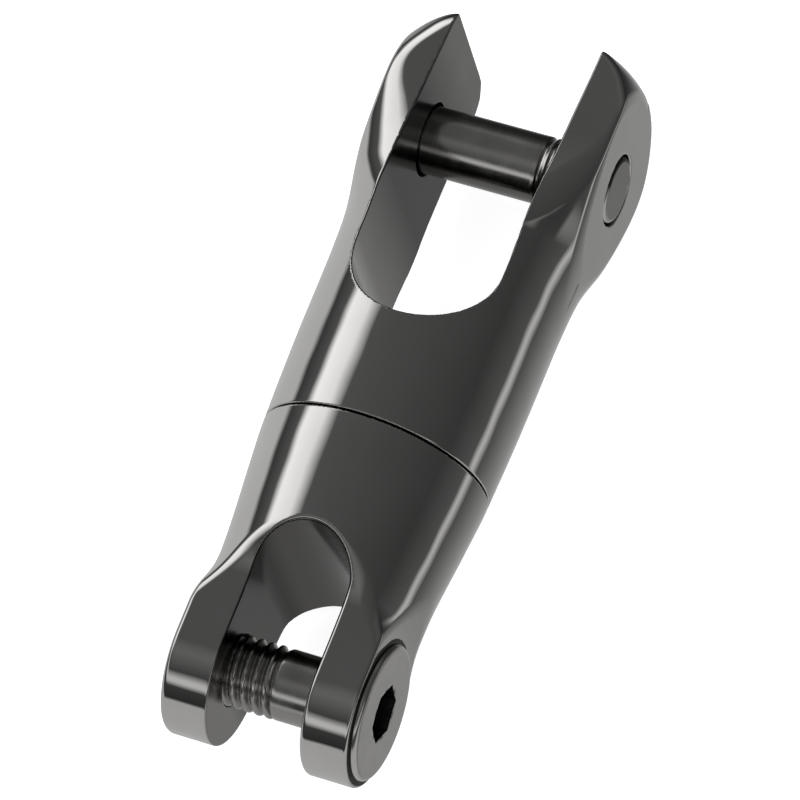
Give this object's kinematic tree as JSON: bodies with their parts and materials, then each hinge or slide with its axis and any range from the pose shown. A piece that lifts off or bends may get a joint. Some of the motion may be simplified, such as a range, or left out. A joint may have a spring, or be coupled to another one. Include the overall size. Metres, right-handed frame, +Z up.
{
  "type": "anchor swivel",
  "caption": "Stainless anchor-to-chain swivel: a wide anchor fork and a narrow chain fork turn on an internal bolt, each jaw closed by a threaded clevis pin.",
  "frame": {"origin": "centre of the bounding box, on the swivel axis, 7.5 mm from the seam towards the anchor end", "axes": "+Y along the swivel axis towards the anchor jaw, X along both clevis pins with the chain pin's head at +X, +Z up through the jaw slots; the object lies on its back"},
  "size_m": [0.0274, 0.0864, 0.0266],
  "materials": {
    "polished_stainless": "mirror polished",
    "turned_stainless": "fine turned, satin",
    "screw_steel": "satin",
    "washer_steel": "ground",
    "bush_bronze": "turned bronze",
    "washer_polymer": "matt",
    "seal_rubber": "matt"
  },
  "bodies": {
    "anchor_body": {"anchor_fork": "polished_stainless", "swivel_bush": "bush_bronze", "head_thrust_washer": "washer_steel", "seam_thrust_washer": "washer_polymer", "seam_o_ring": "seal_rubber"},
    "chain_body": {"chain_fork": "polished_stainless", "swivel_bolt": "screw_steel", "bolt_lock_pin": "screw_steel"},
    "anchor_pin_body": {"anchor_pin": "turned_stainless"},
    "chain_pin_body": {"chain_pin": "turned_stainless"},
    "anchor_grub_body": {"anchor_pin_grub_screw": "screw_steel"},
    "chain_grub_body": {"chain_pin_grub_screw": "screw_steel"}
  },
  "joints": [
    {"name": "swivel", "type": "hinge", "parent": "anchor_body", "child": "chain_body", "pos_m": [0, -0.0075, 0], "axis": [0, 1, 0], "continuous": true},
    {"name": "anchor_pin_withdraw", "type": "slide", "parent": "anchor_body", "child": "anchor_pin_body", "axis": [-1, 0, 0], "range_m": [0, 0.0225]},
    {"name": "chain_pin_withdraw", "type": "slide", "parent": "chain_body", "child": "chain_pin_body", "axis": [1, 0, 0], "range_m": [0, 0.0165]},
    {"name": "anchor_grub_back_out", "type": "slide", "parent": "anchor_body", "child": "anchor_grub_body", "axis": [0, 0, -1], "range_m": [0, 0.003]},
    {"name": "chain_grub_back_out", "type": "slide", "parent": "chain_body", "child": "chain_grub_body", "axis": [0, 0, -1], "range_m": [0, 0.003]}
  ]
}
